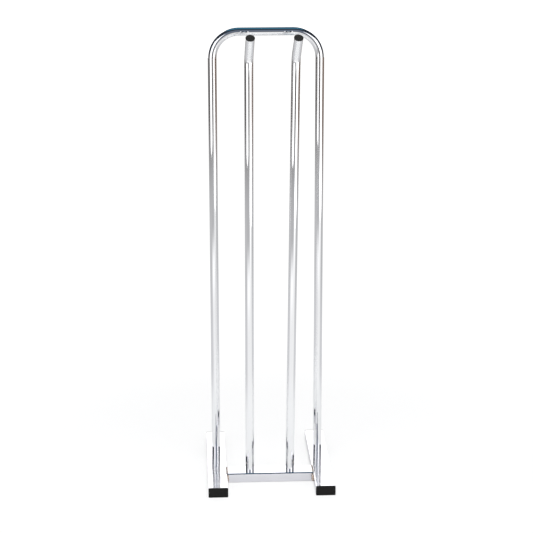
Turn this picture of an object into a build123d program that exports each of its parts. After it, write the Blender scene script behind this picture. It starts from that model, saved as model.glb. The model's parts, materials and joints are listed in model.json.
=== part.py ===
"""Chrome hanger stacker: two posts with bent tips in front of a tall hoop, on an H-shaped base.

The origin is the centre of the base on the floor. +Z is up, -Y is the front, +X is the right-hand
side as seen from the front. All lengths are in millimetres and all angles in degrees.
"""
import os
from math import cos, radians, sin, tan

from build123d import *

# ---- Rectangular tube of the base, laid flat ----
SECTION_WIDTH = 50.0
SECTION_HEIGHT = 25.0
SECTION_WALL = 1.5
SECTION_CORNER = 3.0        # outer corner radius
BASE_DEPTH = 400.0          # front to back, over the end caps
FOOT_SPACING = 273.0        # between the centre lines of the two feet
RAIL_Y = -80.0              # centre line of the cross rail and of the posts

# ---- Round tube of the hoop and the posts ----
TUBE_DIAMETER = 22.0
TUBE_WALL = 1.2
HOOP_Y = 80.0               # plane of the hoop
HOOP_TOP = 1155.0           # top of the hoop above the floor
HOOP_CORNER = 67.0          # centre-line radius of the hoop's two bends
POST_SPACING = 104.0        # between the post axes, at the rail
POST_LEANS = {"left": 0.1, "right": 0.7}    # lean of each post towards +X
TIP_TURNS = {"left": 3.0, "right": 4.2}     # turn of each tip towards +X about the post's axis
TIP_START = 1053.5          # height where a post's straight part ends
TIP_BENDS = (               # centre-line radius, forward turn and length of straight tube past it
    (330.0, 6.0, 2.0),
    (35.0, 30.0, 55.0),
)

# ---- Plastic end caps of the rectangular tubes ----
CAP_FLANGE = 4.0
CAP_EDGE = 1.0              # rounding of the flange's outer edge
CAP_BORDER = 4.0            # raised rim round the sunken panel of the outer face
CAP_PANEL_DEPTH = 0.5
CAP_STEM_DEPTH = 28.0
CAP_STEM_WALL = 2.0
CAP_STEM_GAP = 2.0          # between the stem and the tube, where the ribs bend
CAP_RIB_THICKNESS = 1.2
CAP_RIB_PITCH = 7.0
CAP_RIB_COUNT = 3
PLUG_CLEARANCE = 0.05       # between any rib or insert and the tube's inner wall

# ---- Plastic plugs in the post tips ----
TIP_HEAD_DIAMETER = 23.0
TIP_HEAD_HEIGHT = 2.5
TIP_HEAD_EDGE = 1.2         # height where the head's dome starts
TIP_STEM_DEPTH = 16.0
TIP_STEM_DIAMETER = 17.0
TIP_STEM_BORE = 13.0
TIP_RIB_THICKNESS = 1.0
TIP_RIB_PITCH = 4.5
TIP_RIB_COUNT = 3

# ---- Bolted joints under the round tubes ----
INSERT_LENGTH = 22.0
INSERT_CHAMFER = 1.0
INSERT_BORE = 8.6
BOLT_DIAMETER = 8.0
BOLT_LENGTH = 20.0
BOLT_HOLE = 9.0
BOLT_HEAD_FLATS = 13.0
BOLT_HEAD_HEIGHT = 5.3
BOLT_HEAD_CHAMFER = 1.0
BOLT_END_CHAMFER = 1.0
ACCESS_HOLE = 20.0          # for the socket, in the bottom wall
FLAT_WASHER = (16.0, 8.4, 1.6)      # outer diameter, hole, thickness
SPRING_WASHER = (14.0, 8.2, 2.0)
SPRING_WASHER_SLIT = 1.6

# ---- Weld beads between the rail and the feet ----
BEAD_RADIUS = 4.5
BEAD_RIPPLES = 6            # ripples along each upright seam
TOP_BEAD_RADIUS = 2.2
TOP_BEAD_RIPPLES = 13       # ripples along each top seam
BEAD_MARGIN = 3.0           # left bare at each end of a seam
RIPPLE_TURN = (35, 25, 0)   # keeps the poles of a ripple's sphere off the tubes' faces

# ---- Worked out from the above ----
FOOT_X = FOOT_SPACING / 2
FOOT_INNER_X = FOOT_X - SECTION_WIDTH / 2
FOOT_LENGTH = BASE_DEPTH - 2 * CAP_FLANGE
POST_X = POST_SPACING / 2
TIP_LEAN = sum(turn for radius, turn, straight in TIP_BENDS)
TUBE_RADIUS = TUBE_DIAMETER / 2
TUBE_BORE_RADIUS = TUBE_RADIUS - TUBE_WALL
INNER_WIDTH = SECTION_WIDTH - 2 * SECTION_WALL
INNER_HEIGHT = SECTION_HEIGHT - 2 * SECTION_WALL
INNER_CORNER = SECTION_CORNER - SECTION_WALL
OUTER_SECTION = (SECTION_WIDTH, SECTION_HEIGHT, SECTION_CORNER)
INNER_SECTION = (INNER_WIDTH, INNER_HEIGHT, INNER_CORNER)
RAIL_FRONT_Y = RAIL_Y - SECTION_WIDTH / 2
RAIL_BACK_Y = RAIL_Y + SECTION_WIDTH / 2
SIDES = {"left": -1, "right": 1}
STANDING = (Align.CENTER, Align.CENTER, Align.MIN)      # a cylinder from Z = 0 up
HANGING = (Align.CENTER, Align.CENTER, Align.MAX)       # a cylinder from Z = 0 down


def foot_bar(side, width, height, corner):
    """Solid bar with rounded corners along a foot's full length."""
    start = (SIDES[side] * FOOT_X, -FOOT_LENGTH / 2, SECTION_HEIGHT / 2)
    plane = Plane(origin=start, x_dir=(1, 0, 0), z_dir=(0, 1, 0))
    return extrude(plane * RectangleRounded(width, height, corner), amount=FOOT_LENGTH)


def rail_bar(width, height, corner):
    """Solid bar with rounded corners between the inner faces of the feet."""
    start = (-FOOT_INNER_X, RAIL_Y, SECTION_HEIGHT / 2)
    plane = Plane(origin=start, x_dir=(0, 1, 0), z_dir=(1, 0, 0))
    return extrude(plane * RectangleRounded(width, height, corner), amount=2 * FOOT_INNER_X)


def bolt_and_access_holes(x, y):
    """Cutters for one bolted joint: a bolt hole above and a wider socket hole below it."""
    bolt_hole = Pos(x, y, SECTION_HEIGHT) * Cylinder(BOLT_HOLE / 2, 4 * SECTION_WALL)
    access_hole = Pos(x, y, 0) * Cylinder(ACCESS_HOLE / 2, 4 * SECTION_WALL)
    return bolt_hole + access_hole


def make_foot(side):
    """One foot, which carries one leg of the hoop."""
    tube = foot_bar(side, *OUTER_SECTION) - foot_bar(side, *INNER_SECTION)
    return tube - bolt_and_access_holes(SIDES[side] * FOOT_X, HOOP_Y)


def make_cross_rail():
    """The rail between the feet, which carries both posts."""
    rail = rail_bar(*OUTER_SECTION) - rail_bar(*INNER_SECTION)
    for sign in SIDES.values():
        rail -= bolt_and_access_holes(sign * POST_X, RAIL_Y)
    return rail


def round_tube(path, start):
    """Hollow round tube swept upwards from start along path."""
    section = Circle(TUBE_RADIUS) - Circle(TUBE_BORE_RADIUS)
    return sweep(Pos(start) * section, path=path)


def make_hoop():
    """The tall inverted U at the back, with its legs on the feet."""
    top = HOOP_TOP - TUBE_RADIUS
    corners = [(-FOOT_X, SECTION_HEIGHT), (-FOOT_X, top), (FOOT_X, top), (FOOT_X, SECTION_HEIGHT)]
    points = [Vector(x, HOOP_Y, z) for x, z in corners]
    return round_tube(FilletPolyline(*points, radius=HOOP_CORNER), points[0])


def post_frame(side):
    """Location of a post's foot on the rail: its local Z runs up the leaning post."""
    foot = Pos(SIDES[side] * POST_X, RAIL_Y, SECTION_HEIGHT)
    return foot * Rot(0, POST_LEANS[side], 0) * Rot(0, 0, TIP_TURNS[side])


def heading(lean):
    """Unit vector of a tube that leans forwards from upright by the angle lean."""
    return Vector(0, -sin(radians(lean)), cos(radians(lean)))


def tip_route():
    """Corners of a tip's bends and then the end of its tube, in the post's own frame."""
    place = Vector(0, 0, TIP_START - SECTION_HEIGHT)
    lean = 0.0
    corners = []
    for radius, turn, straight in TIP_BENDS:
        tangent = radius * tan(radians(turn / 2))
        corners.append(place + heading(lean) * tangent)
        lean += turn
        place = corners[-1] + heading(lean) * (tangent + straight)
    return [*corners, place]


def tip_frame():
    """Location of the tube's end at a post's tip, in the post's own frame."""
    return Pos(tip_route()[-1]) * Rot(TIP_LEAN, 0, 0)


def below_rail_top(side):
    """Block under a post's seat, to trim a leaning tube square to the rail."""
    return Pos(SIDES[side] * POST_X, RAIL_Y, 0) * Box(
        2 * TUBE_DIAMETER, 2 * TUBE_DIAMETER, 2 * SECTION_HEIGHT)


def make_post(side):
    """One post: upright tube, a slow and a tight forward bend, and a short straight tip."""
    start = Vector(0, 0, -SECTION_WALL)
    radii = [radius for radius, turn, straight in TIP_BENDS]
    tube = round_tube(FilletPolyline(start, *tip_route(), radius=radii), start)
    return post_frame(side) * tube - below_rail_top(side)


def rounded_slab(width, height, corner, thickness):
    """Rounded rectangle in XZ, from Y = 0 forwards to Y = -thickness."""
    return extrude(Plane.XZ * RectangleRounded(width, height, corner), amount=thickness)


def make_end_cap(side, end):
    """Push-in cap of a foot. end is -1 at the front and 1 at the back."""
    flange = rounded_slab(SECTION_WIDTH, SECTION_HEIGHT, SECTION_CORNER, CAP_FLANGE)
    outer_face = flange.faces().sort_by(Axis.Y)[0]
    cap = fillet(outer_face.edges(), CAP_EDGE)
    panel = rounded_slab(SECTION_WIDTH - 2 * CAP_BORDER, SECTION_HEIGHT - 2 * CAP_BORDER,
                         SECTION_CORNER, CAP_FLANGE)
    cap -= Pos(0, CAP_PANEL_DEPTH - CAP_FLANGE, 0) * panel
    stem_width = INNER_WIDTH - 2 * CAP_STEM_GAP
    stem_height = INNER_HEIGHT - 2 * CAP_STEM_GAP
    stem = rounded_slab(stem_width, stem_height, CAP_STEM_WALL, CAP_STEM_DEPTH)
    hollow = rounded_slab(stem_width - 2 * CAP_STEM_WALL, stem_height - 2 * CAP_STEM_WALL,
                          CAP_STEM_WALL / 2, CAP_STEM_DEPTH)
    for rib in range(CAP_RIB_COUNT):
        slab = rounded_slab(INNER_WIDTH - 2 * PLUG_CLEARANCE, INNER_HEIGHT - 2 * PLUG_CLEARANCE,
                            INNER_CORNER, CAP_RIB_THICKNESS)
        stem += Pos(0, -(rib + 0.5) * CAP_RIB_PITCH, 0) * slab
    cap += Pos(0, CAP_STEM_DEPTH, 0) * (stem - hollow)
    turned = cap if end < 0 else Rot(0, 0, 180) * cap
    return Pos(SIDES[side] * FOOT_X, end * FOOT_LENGTH / 2, SECTION_HEIGHT / 2) * turned


def make_tip_plug(side):
    """Push-in plug of a post's tip: a low domed head on a ribbed hollow stem."""
    head_radius = TIP_HEAD_DIAMETER / 2
    dome_rise = TIP_HEAD_HEIGHT - TIP_HEAD_EDGE
    dome_radius = (head_radius ** 2 + dome_rise ** 2) / (2 * dome_rise)
    head = Cylinder(head_radius, TIP_HEAD_HEIGHT, align=STANDING)
    plug = head & Pos(0, 0, TIP_HEAD_HEIGHT - dome_radius) * Sphere(dome_radius)
    stem = Cylinder(TIP_STEM_DIAMETER / 2, TIP_STEM_DEPTH, align=HANGING)
    for rib in range(TIP_RIB_COUNT):
        disc = Cylinder(TUBE_BORE_RADIUS - PLUG_CLEARANCE, TIP_RIB_THICKNESS)
        stem += Pos(0, 0, -(rib + 0.5) * TIP_RIB_PITCH) * disc
    hollow = Cylinder(TIP_STEM_BORE / 2, TIP_STEM_DEPTH, align=HANGING)
    plug += stem - hollow
    return post_frame(side) * tip_frame() * plug


def threaded_insert():
    """Steel slug pressed into the foot of a round tube. The thread is left as a plain bore."""
    slug = Cylinder(TUBE_BORE_RADIUS - PLUG_CLEARANCE, INSERT_LENGTH, align=STANDING)
    slug = chamfer(slug.edges().filter_by(GeomType.CIRCLE), INSERT_CHAMFER)
    return slug - Cylinder(INSERT_BORE / 2, 3 * INSERT_LENGTH)


def hex_bolt():
    """Hexagon-head bolt. Z = 0 is under the head and the shank runs up."""
    shank = Cylinder(BOLT_DIAMETER / 2, BOLT_LENGTH, align=STANDING)
    shank = chamfer(shank.edges().sort_by(Axis.Z)[-1], BOLT_END_CHAMFER)
    across_corners = BOLT_HEAD_FLATS / cos(radians(30))
    head = extrude(RegularPolygon(across_corners / 2, 6), amount=-BOLT_HEAD_HEIGHT)
    crown = Cylinder(across_corners / 2, BOLT_HEAD_HEIGHT, align=HANGING)
    crown = chamfer(crown.edges().sort_by(Axis.Z)[0], BOLT_HEAD_CHAMFER)
    return shank + (head & crown)


def washer(outer, hole, thickness):
    """Flat ring that hangs down from Z = 0."""
    disc = Cylinder(outer / 2, thickness, align=HANGING)
    return disc - Cylinder(hole / 2, thickness, align=HANGING)


def split_washer():
    """Spring washer: a thick ring with a slanted slit."""
    ring = washer(*SPRING_WASHER)
    slit = Pos(SPRING_WASHER[0] / 2, 0, -SPRING_WASHER[2] / 2) * Rot(30, 0, 0) * Box(
        SPRING_WASHER[0], SPRING_WASHER_SLIT, 4 * SPRING_WASHER[2])
    return ring - slit


def bolted_joints():
    """Centres of the four bolted joints in plan."""
    return [(sign * x, y) for x, y in ((FOOT_X, HOOP_Y), (POST_X, RAIL_Y)) for sign in (-1, 1)]


def make_fasteners():
    """Bolts, flat washers and spring washers, each stacked under the top wall of its tube."""
    wall_underside = SECTION_HEIGHT - SECTION_WALL
    spring_top = wall_underside - FLAT_WASHER[2]
    head_top = spring_top - SPRING_WASHER[2]
    stacks = {
        "frame_bolts": (hex_bolt(), head_top),
        "flat_washers": (washer(*FLAT_WASHER), wall_underside),
        "spring_washers": (split_washer(), spring_top),
    }
    return {
        node: Compound(children=[Pos(x, y, height) * shape for x, y in bolted_joints()])
        for node, (shape, height) in stacks.items()
    }


def ripple_bead(start, end, radius, count):
    """Row of overlapping round ripples, from the first centre to the last."""
    first, last = Vector(*start), Vector(*end)
    ripple = Rot(*RIPPLE_TURN) * Sphere(radius)
    bead = Pos(first) * ripple
    for i in range(1, count):
        bead += Pos(first + (last - first) * (i / (count - 1))) * ripple
    return bead


def make_rail_weld(side):
    """Weld at one end of the rail: upright beads at the front and back, and one along the top."""
    x = SIDES[side] * FOOT_INNER_X
    low = BEAD_MARGIN + SECTION_CORNER
    high = SECTION_HEIGHT - low
    tubes = foot_bar(side, *OUTER_SECTION) + rail_bar(*OUTER_SECTION)
    beads = []
    for seam_y in (RAIL_FRONT_Y, RAIL_BACK_Y):
        beads.append(ripple_bead((x, seam_y, low), (x, seam_y, high), BEAD_RADIUS, BEAD_RIPPLES))
    top_start = (x, RAIL_FRONT_Y + SECTION_CORNER + BEAD_MARGIN, SECTION_HEIGHT)
    top_end = (x, RAIL_BACK_Y - SECTION_CORNER - BEAD_MARGIN, SECTION_HEIGHT)
    beads.append(ripple_bead(top_start, top_end, TOP_BEAD_RADIUS, TOP_BEAD_RIPPLES))
    return Compound(children=[bead - tubes for bead in beads])


def make_nodes():
    """Every node of the stand, by name."""
    nodes = {"hoop": make_hoop(), "cross_rail": make_cross_rail()}
    for side, sign in SIDES.items():
        nodes[f"{side}_foot"] = make_foot(side)
        nodes[f"front_{side}_cap"] = make_end_cap(side, -1)
        nodes[f"rear_{side}_cap"] = make_end_cap(side, 1)
        nodes[f"{side}_post"] = make_post(side)
        nodes[f"{side}_tip_plug"] = make_tip_plug(side)
        nodes[f"{side}_post_insert"] = post_frame(side) * threaded_insert() - below_rail_top(side)
        nodes[f"hoop_{side}_insert"] = Pos(sign * FOOT_X, HOOP_Y, SECTION_HEIGHT) * threaded_insert()
        nodes[f"{side}_rail_weld"] = make_rail_weld(side)
    nodes.update(make_fasteners())
    return nodes


os.makedirs("parts", exist_ok=True)
for name, shape in make_nodes().items():
    export_step(shape, f"parts/{name}.step")
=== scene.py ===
"""Looks and studio for the chrome hanger stacker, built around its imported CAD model.

Everything is in metres in the stand's own frame: +Z up, -Y to the front, origin on the floor.
"""
import json
import math

import bmesh
import bpy
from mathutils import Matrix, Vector

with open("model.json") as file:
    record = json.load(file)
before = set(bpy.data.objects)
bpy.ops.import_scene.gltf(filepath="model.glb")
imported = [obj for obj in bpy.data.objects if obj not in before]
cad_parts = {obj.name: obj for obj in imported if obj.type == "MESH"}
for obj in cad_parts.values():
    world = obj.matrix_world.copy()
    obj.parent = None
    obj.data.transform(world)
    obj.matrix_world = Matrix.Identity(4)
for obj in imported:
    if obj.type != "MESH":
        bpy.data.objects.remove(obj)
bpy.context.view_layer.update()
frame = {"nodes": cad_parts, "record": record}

# ---- Camera ----
CAMERA_PLACE = (-0.2027, -4.0204, 1.6447)
CAMERA_TILT_DOWN = math.radians(15.20)
CAMERA_PAN_RIGHT = math.radians(2.858)
CAMERA_ROLL = math.radians(0.09)
CAMERA_SENSOR = 36.0        # millimetres
CAMERA_LENS = 109.7         # millimetres

# ---- Colours, linear ----
CHROME_ROUND = (0.82, 0.825, 0.835)
CHROME_BOX = (0.75, 0.745, 0.78)
HEAT_BROWN = (0.42, 0.20, 0.07)
CAP_BLACK = (0.009, 0.0088, 0.0082)
PLUG_BLACK = (0.011, 0.0105, 0.0095)
SCUFF_GREY = (0.06, 0.06, 0.06)
ZINC = (0.56, 0.58, 0.62)
TURNED_STEEL = (0.48, 0.47, 0.46)
WELD = (0.60, 0.57, 0.53)
PAPER = (0.875, 0.86, 0.845)
WHITE = (1.05, 1.05, 1.05)

# ---- Textures: noise scales per metre, lengths in metres ----
# A stretch below 1 draws marks out along that axis.
CHROME_PATCHES = 9.0
CHROME_SMUDGES = 22.0
CHROME_HAIRLINES = 240.0
CHROME_WAVES = 16.0
CHROME_WAVE_HEIGHT = 0.002
ALONG_ROUND_TUBE = (1.0, 1.0, 0.06)     # along the posts
ALONG_BOX_TUBE = (1.0, 0.3, 1.0)        # along the feet
PLASTIC_CLOUDS = 160.0
PLASTIC_SCUFFS = 620.0
PLASTIC_SPECULAR = 0.14     # dull, waxy polyethylene
EDGE_WEAR_RADIUS = 0.0011
STEEL_CLOUDS = 210.0
STEEL_BLOTCHES = 430.0
STEEL_MARKS = 900.0
ALONG_TURNED_STEEL = (0.2, 0.2, 1.0)
NO_DIRECTION = (1.0, 1.0, 1.0)
PAPER_FIBRES = 900.0
GRAIN_HEIGHT = 0.0002

# ---- Studio: lights ----
SOFTBOX_DISTANCE = 2.7
SOFTBOX_ANGLE = math.radians(43.0)
SOFTBOX_WIDTH = 2.4
SOFTBOX_TOP = 2.55
SOFTBOXES = {               # side, height of the lower edge, power
    "softbox_left": (-1, 0.30, 24.0),
    "softbox_right": (1, 0.02, 32.0),
}
OVERHEAD_PLACE = (0.0, -0.55, 2.7)
OVERHEAD_SIZE = 1.7
OVERHEAD_POWER = 63.0

# ---- Studio: floor, with radii from the stand ----
FLOOR_RADIUS = 9.0
FLOOR_SEGMENTS = 96
WHITE_BASE = 0.62           # share of plain white that the camera sees at the stand
WHITE_FROM = 0.35           # from here the camera sees it rise to all white
WHITE_FULL = 1.2
LIT_PAPER_FROM = 0.5        # from here reflections leave the lit paper for the steps below
LIT_PAPER_ENDS = 1.0
# Past the lit paper the chrome sees painted light: the floor glows in steps instead of being lit by the
# studio, with radius and colour at each step outwards.
FLOOR_LEFT = ((1.0, (0.74, 0.74, 0.76)), (2.3, (0.62, 0.62, 0.63)), (6.0, (0.17, 0.162, 0.158)))
FLOOR_RIGHT = ((1.0, (0.74, 0.74, 0.76)), (2.3, (0.58, 0.58, 0.59)), (6.0, (0.215, 0.157, 0.128)))
FLOOR_RIGHT_FROM = 0.0      # X where the right-hand steps begin to take over
FLOOR_RIGHT_FULL = 2.0
# The same towards the front: azimuth range in degrees, softness of its edges and the steps; the brighter
# steps here are painted pools of softbox light on the floor.
FLOOR_SECTORS = (
    ((-56, 20), 30, ((1.3, (1.04, 1.04, 1.05)), (1.9, (1.24, 1.24, 1.25)), (2.7, (0.56, 0.56, 0.57)),
                     (6.0, (0.17, 0.162, 0.158)))),
    ((12, 58), 26, ((1.3, (1.06, 1.06, 1.06)), (3.2, (1.3, 1.3, 1.3)), (4.6, (0.45, 0.44, 0.43)),
                    (6.5, (0.19, 0.17, 0.16)))),
)

# ---- Studio: what the chrome sees of the room above the floor ----
# Patches of the room: colour, azimuth range, elevation range and softness of the edges, in degrees.
ROOM = (0.03, 0.038, 0.052)
ALL_ROUND = (-200, 200)
BACK_WHITE = (2.0, 2.0, 2.0)
ROOM_PATCHES = (
    ((0.17, 0.162, 0.158), ALL_ROUND, (-90, 2), 16),
    ((0.15, 0.18, 0.24), (-25, 25), (-5, 36), 6),
    ((0.055, 0.18, 0.275), ALL_ROUND, (64, 120), 8),
    (BACK_WHITE, (140, 200), (-90, 44), 9),
    (BACK_WHITE, (-200, -140), (-90, 44), 9),
)


class Nodes:
    """Short calls for building one node tree."""

    def __init__(self, tree):
        self.tree = tree
        tree.nodes.clear()

    def add(self, kind, inputs=None, **settings):
        node = self.tree.nodes.new(kind)
        for name, value in settings.items():
            setattr(node, name, value)
        for socket, value in (inputs or {}).items():
            self.put(node.inputs[socket], value)
        return node

    def put(self, socket, value):
        if isinstance(value, bpy.types.NodeSocket):
            self.tree.links.new(value, socket)
        else:
            socket.default_value = value

    def math(self, operation, a, b=0.0):
        return self.add("ShaderNodeMath", {0: a, 1: b}, operation=operation).outputs["Value"]

    def smooth(self, value, low, high):
        """0 below low, 1 above high, smooth between them."""
        node = self.add("ShaderNodeMapRange", {"Value": value, "From Min": low, "From Max": high},
                        interpolation_type="SMOOTHSTEP")
        return node.outputs["Result"]

    def spread(self, value, low, high, to_low, to_high):
        node = self.add("ShaderNodeMapRange", {
            "Value": value, "From Min": low, "From Max": high, "To Min": to_low, "To Max": to_high})
        return node.outputs["Result"]

    def noise(self, vector, scale, detail, roughness=0.5):
        node = self.add("ShaderNodeTexNoise", {
            "Vector": vector, "Scale": scale, "Detail": detail, "Roughness": roughness})
        return node.outputs["Fac"]

    def mix(self, factor, a, b):
        node = self.add("ShaderNodeMix", data_type="RGBA")
        self.put(node.inputs["Factor"], factor)
        self.put(node.inputs["A"], rgba(a))
        self.put(node.inputs["B"], rgba(b))
        return node.outputs["Result"]

    def stretched(self, vector, scale):
        node = self.add("ShaderNodeMapping", {"Vector": vector, "Scale": scale})
        return node.outputs["Vector"]

    def bump(self, height, strength, distance):
        node = self.add("ShaderNodeBump", {"Height": height, "Strength": strength, "Distance": distance})
        return node.outputs["Normal"]

    def window(self, angle, limits, softness):
        """1 where an angle lies between two limits in degrees, with soft edges centred on them."""
        low, high = limits
        half = softness / 2
        after = self.smooth(angle, math.radians(low - half), math.radians(low + half))
        before = self.smooth(angle, math.radians(high + half), math.radians(high - half))
        return self.math("MULTIPLY", after, before)

    def steps(self, value, colours):
        """Colour that fades from each (value, colour) step to the next."""
        (start, colour), *others = colours
        for end, following in others:
            colour = self.mix(self.smooth(value, start, end), colour, following)
            start = end
        return colour

    def angles(self, vector):
        """Azimuth of a vector, 0 to the front and + to the right, and its elevation."""
        unit = self.add("ShaderNodeVectorMath", {0: vector}, operation="NORMALIZE").outputs["Vector"]
        x, y, z = self.add("ShaderNodeSeparateXYZ", {0: unit}).outputs
        return self.math("ARCTAN2", x, self.math("MULTIPLY", y, -1.0)), self.math("ARCSINE", z)

    def emission(self, colour):
        return self.add("ShaderNodeEmission", {"Color": rgba(colour)}).outputs["Emission"]

    def blend_shaders(self, factor, a, b):
        return self.add("ShaderNodeMixShader", {0: factor, 1: a, 2: b}).outputs["Shader"]

    def output(self, kind):
        """The tree's surface output socket, with its output node made when there is none."""
        found = [node for node in self.tree.nodes if node.bl_idname == kind]
        node = found[0] if found else self.add(kind)
        return node.inputs["Surface"]


def rgba(colour):
    """A colour socket's value from three numbers, or the socket itself."""
    return colour if isinstance(colour, bpy.types.NodeSocket) else (*colour, 1.0)


def new_material(name):
    """Material with a Principled shader: returns the material, its node helper, shader and place."""
    material = bpy.data.materials.new(name)
    material.use_nodes = True
    nodes = Nodes(material.node_tree)
    shader = nodes.add("ShaderNodeBsdfPrincipled")
    output = nodes.add("ShaderNodeOutputMaterial")
    nodes.put(output.inputs["Surface"], shader.outputs["BSDF"])
    place = nodes.add("ShaderNodeTexCoord").outputs["Object"]
    return material, nodes, shader, place


def edge_mask(nodes, radius):
    """1 on worn edges and 0 on flats."""
    rounded = nodes.add("ShaderNodeBevel", {"Radius": radius}, samples=4).outputs["Normal"]
    true = nodes.add("ShaderNodeNewGeometry").outputs["Normal"]
    agreement = nodes.add("ShaderNodeVectorMath", {0: rounded, 1: true}, operation="DOT_PRODUCT")
    return nodes.smooth(agreement.outputs["Value"], 0.98, 0.80)


def tint(colour, factor):
    """The same colour, darker or lighter."""
    return tuple(factor * channel for channel in colour)


def chrome_material(name, colour, along, roughness, waviness):
    """Decorative chrome plate, with faint smudges, hairlines and waves that along stretches."""
    material, nodes, shader, place = new_material(name)
    stretched = nodes.stretched(place, along)
    patches = nodes.noise(place, CHROME_PATCHES, detail=2.0)
    nodes.put(shader.inputs["Base Color"], nodes.mix(patches, tint(colour, 0.985), tint(colour, 1.015)))
    smudges = nodes.smooth(nodes.noise(place, CHROME_SMUDGES, detail=4.0, roughness=0.6), 0.52, 0.78)
    hairlines = nodes.smooth(nodes.noise(stretched, CHROME_HAIRLINES, detail=1.0), 0.62, 0.80)
    marks = nodes.math("MAXIMUM", smudges, nodes.math("MULTIPLY", hairlines, 0.5))
    nodes.put(shader.inputs["Roughness"], nodes.spread(marks, 0.0, 1.0, roughness, roughness + 0.03))
    shader.inputs["Metallic"].default_value = 1.0
    waves = nodes.noise(stretched, CHROME_WAVES, detail=1.0)
    nodes.put(shader.inputs["Normal"], nodes.bump(waves, waviness, CHROME_WAVE_HEIGHT))
    return material


def plastic_material(name, colour, roughness, grain):
    """Moulded black plastic with a fine grain and paler scuffs on its edges."""
    material, nodes, shader, place = new_material(name)
    cloud = nodes.noise(place, PLASTIC_CLOUDS, detail=4.0)
    broken = nodes.smooth(nodes.noise(place, PLASTIC_SCUFFS, detail=4.0), 0.45, 0.7)
    scuffs = nodes.math("MULTIPLY", edge_mask(nodes, EDGE_WEAR_RADIUS), broken)
    base = nodes.mix(cloud, tint(colour, 0.8), tint(colour, 1.35))
    nodes.put(shader.inputs["Base Color"], nodes.mix(nodes.math("MULTIPLY", scuffs, 0.55), base, SCUFF_GREY))
    nodes.put(shader.inputs["Roughness"], nodes.spread(cloud, 0.3, 0.7, roughness - 0.06, roughness + 0.08))
    fine = nodes.noise(place, grain, detail=2.0)
    nodes.put(shader.inputs["Normal"], nodes.bump(fine, 0.22, GRAIN_HEIGHT))
    shader.inputs["Specular IOR Level"].default_value = PLASTIC_SPECULAR
    return material


def steel_material(name, colour, roughness, along, stain=None):
    """Plain or zinc-plated steel with tool marks; stain adds brownish heat and flux marks."""
    material, nodes, shader, place = new_material(name)
    cloud = nodes.noise(place, STEEL_CLOUDS, detail=4.0)
    base = nodes.mix(cloud, tint(colour, 0.86), tint(colour, 1.08))
    if stain:
        blotches = nodes.smooth(nodes.noise(place, STEEL_BLOTCHES, detail=3.0), 0.44, 0.60)
        base = nodes.mix(nodes.math("MULTIPLY", blotches, 0.85), base, stain)
    nodes.put(shader.inputs["Base Color"], base)
    nodes.put(shader.inputs["Roughness"], nodes.spread(cloud, 0.3, 0.7, roughness - 0.06, roughness + 0.1))
    shader.inputs["Metallic"].default_value = 1.0
    marks = nodes.noise(nodes.stretched(place, along), STEEL_MARKS, detail=2.0)
    nodes.put(shader.inputs["Normal"], nodes.bump(marks, 0.25, GRAIN_HEIGHT))
    return material


def paint_nodes():
    """Give every CAD node its finish by the material slot that the record names."""
    finishes = {
        "chrome_round_tube": chrome_material(
            "chrome_round_tube_look", CHROME_ROUND, ALONG_ROUND_TUBE, roughness=0.035, waviness=0.04),
        "chrome_box_tube": chrome_material(
            "chrome_box_tube_look", CHROME_BOX, ALONG_BOX_TUBE, roughness=0.105, waviness=0.40),
        "black_cap_plastic": plastic_material(
            "cap_plastic_look", CAP_BLACK, roughness=0.46, grain=2600.0),
        "black_plug_plastic": plastic_material(
            "plug_plastic_look", PLUG_BLACK, roughness=0.42, grain=1900.0),
        "turned_steel": steel_material(
            "turned_steel_look", TURNED_STEEL, roughness=0.34, along=ALONG_TURNED_STEEL),
        "zinc_steel": steel_material(
            "zinc_steel_look", ZINC, roughness=0.26, along=NO_DIRECTION),
        "weld_metal": steel_material(
            "weld_metal_look", WELD, roughness=0.24, along=NO_DIRECTION, stain=HEAT_BROWN),
    }
    for row in frame["record"]["subparts"]:
        mesh = frame["nodes"][row["node"]].data
        for index in range(len(mesh.materials)):
            mesh.materials[index] = finishes[row["material_slot"]]


def add_camera():
    """Camera at the front, a little to the left, looking slightly down."""
    data = bpy.data.cameras.new("camera")
    data.lens = CAMERA_LENS
    data.sensor_width = CAMERA_SENSOR
    camera = bpy.data.objects.new("camera", data)
    camera.location = CAMERA_PLACE
    camera.rotation_euler = (math.pi / 2 - CAMERA_TILT_DOWN, CAMERA_ROLL, -CAMERA_PAN_RIGHT)
    bpy.context.scene.collection.objects.link(camera)
    bpy.context.scene.camera = camera


def add_area_light(name, place, aim, size, power, in_reflections):
    """Rectangular light that the camera doesn't see."""
    data = bpy.data.lights.new(name, "AREA")
    data.shape = "RECTANGLE"
    data.size, data.size_y = size
    data.energy = power
    light = bpy.data.objects.new(name, data)
    light.location = place
    light.rotation_euler = (Vector(aim) - Vector(place)).to_track_quat("-Z", "Y").to_euler()
    light.visible_camera = False
    light.visible_glossy = in_reflections
    bpy.context.scene.collection.objects.link(light)


def add_lights():
    """Two softboxes in front, and a soft light overhead that reflections don't show."""
    for name, (side, bottom, power) in SOFTBOXES.items():
        height = (bottom + SOFTBOX_TOP) / 2
        place = (side * SOFTBOX_DISTANCE * math.sin(SOFTBOX_ANGLE),
                 -SOFTBOX_DISTANCE * math.cos(SOFTBOX_ANGLE), height)
        size = (SOFTBOX_WIDTH, SOFTBOX_TOP - bottom)
        add_area_light(name, place, (0, 0, height), size, power, True)
    add_area_light("overhead", OVERHEAD_PLACE, (0, OVERHEAD_PLACE[1], 0),
                   (OVERHEAD_SIZE, OVERHEAD_SIZE), OVERHEAD_POWER, False)


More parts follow.
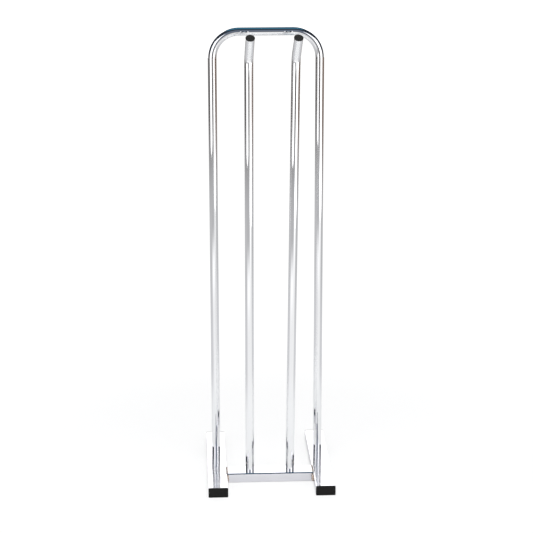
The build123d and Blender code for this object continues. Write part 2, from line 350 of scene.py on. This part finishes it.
def add_floor():
    """White paper round the stand.

    Reflections show the lit paper near the stand and, past it, painted light: the floor glows in steps,
    brighter towards the front where the softboxes would light it. The camera sees paper mixed with plain
    white at the stand, which leaves a faint shadow, and all white further off.
    """
    mesh = bpy.data.meshes.new("floor")
    shape = bmesh.new()
    bmesh.ops.create_circle(shape, cap_ends=True, segments=FLOOR_SEGMENTS, radius=FLOOR_RADIUS)
    shape.to_mesh(mesh)
    shape.free()
    floor = bpy.data.objects.new("floor", mesh)
    material, nodes, shader, place = new_material("paper")
    fibres = nodes.noise(place, PAPER_FIBRES, detail=2.0)
    nodes.put(shader.inputs["Base Color"], nodes.mix(fibres, tint(PAPER, 0.99), PAPER))
    shader.inputs["Roughness"].default_value = 0.9
    shader.inputs["Specular IOR Level"].default_value = 0.0
    radius = nodes.add("ShaderNodeVectorMath", {0: place}, operation="LENGTH").outputs["Value"]
    across = nodes.add("ShaderNodeSeparateXYZ", {0: place}).outputs["X"]
    azimuth = nodes.angles(place)[0]
    # Painted light: past the lit paper the floor glows in steps that darken outwards, brighter in the front
    # sectors.
    left, right = (nodes.steps(radius, steps) for steps in (FLOOR_LEFT, FLOOR_RIGHT))
    painted_floor_light = nodes.mix(nodes.smooth(across, FLOOR_RIGHT_FROM, FLOOR_RIGHT_FULL), left, right)
    for azimuths, softness, steps in FLOOR_SECTORS:
        inside = nodes.window(azimuth, azimuths, softness)
        painted_floor_light = nodes.mix(inside, painted_floor_light, nodes.steps(radius, steps))
    past_paper = nodes.smooth(radius, LIT_PAPER_FROM, LIT_PAPER_ENDS)
    reflected = nodes.blend_shaders(past_paper, shader.outputs["BSDF"], nodes.emission(painted_floor_light))
    past_white = nodes.smooth(radius, WHITE_FROM, WHITE_FULL)
    whiteness = nodes.spread(past_white, 0.0, 1.0, WHITE_BASE, 1.0)
    seen = nodes.blend_shaders(whiteness, shader.outputs["BSDF"], nodes.emission(WHITE))
    to_camera = nodes.add("ShaderNodeLightPath").outputs["Is Camera Ray"]
    nodes.put(nodes.output("ShaderNodeOutputMaterial"), nodes.blend_shaders(to_camera, reflected, seen))
    mesh.materials.append(material)
    bpy.context.scene.collection.objects.link(floor)


def add_world():
    """Plain white for the camera; for reflections a dark room, blue above and white behind."""
    world = bpy.data.worlds.new("studio")
    world.use_nodes = True
    bpy.context.scene.world = world
    nodes = Nodes(world.node_tree)
    direction = nodes.add("ShaderNodeTexCoord").outputs["Generated"]
    azimuth, elevation = nodes.angles(direction)
    room = ROOM
    for colour, azimuths, elevations, softness in ROOM_PATCHES:
        inside = nodes.math("MULTIPLY", nodes.window(azimuth, azimuths, softness),
                            nodes.window(elevation, elevations, softness))
        room = nodes.mix(inside, room, colour)
    seen = nodes.add("ShaderNodeLightPath").outputs["Is Camera Ray"]
    background = nodes.add("ShaderNodeBackground", {"Color": nodes.mix(seen, room, WHITE)})
    nodes.put(nodes.output("ShaderNodeOutputWorld"), background.outputs["Background"])


add_camera()
paint_nodes()
add_lights()
add_floor()
add_world()
bpy.context.scene.view_settings.view_transform = "Standard"
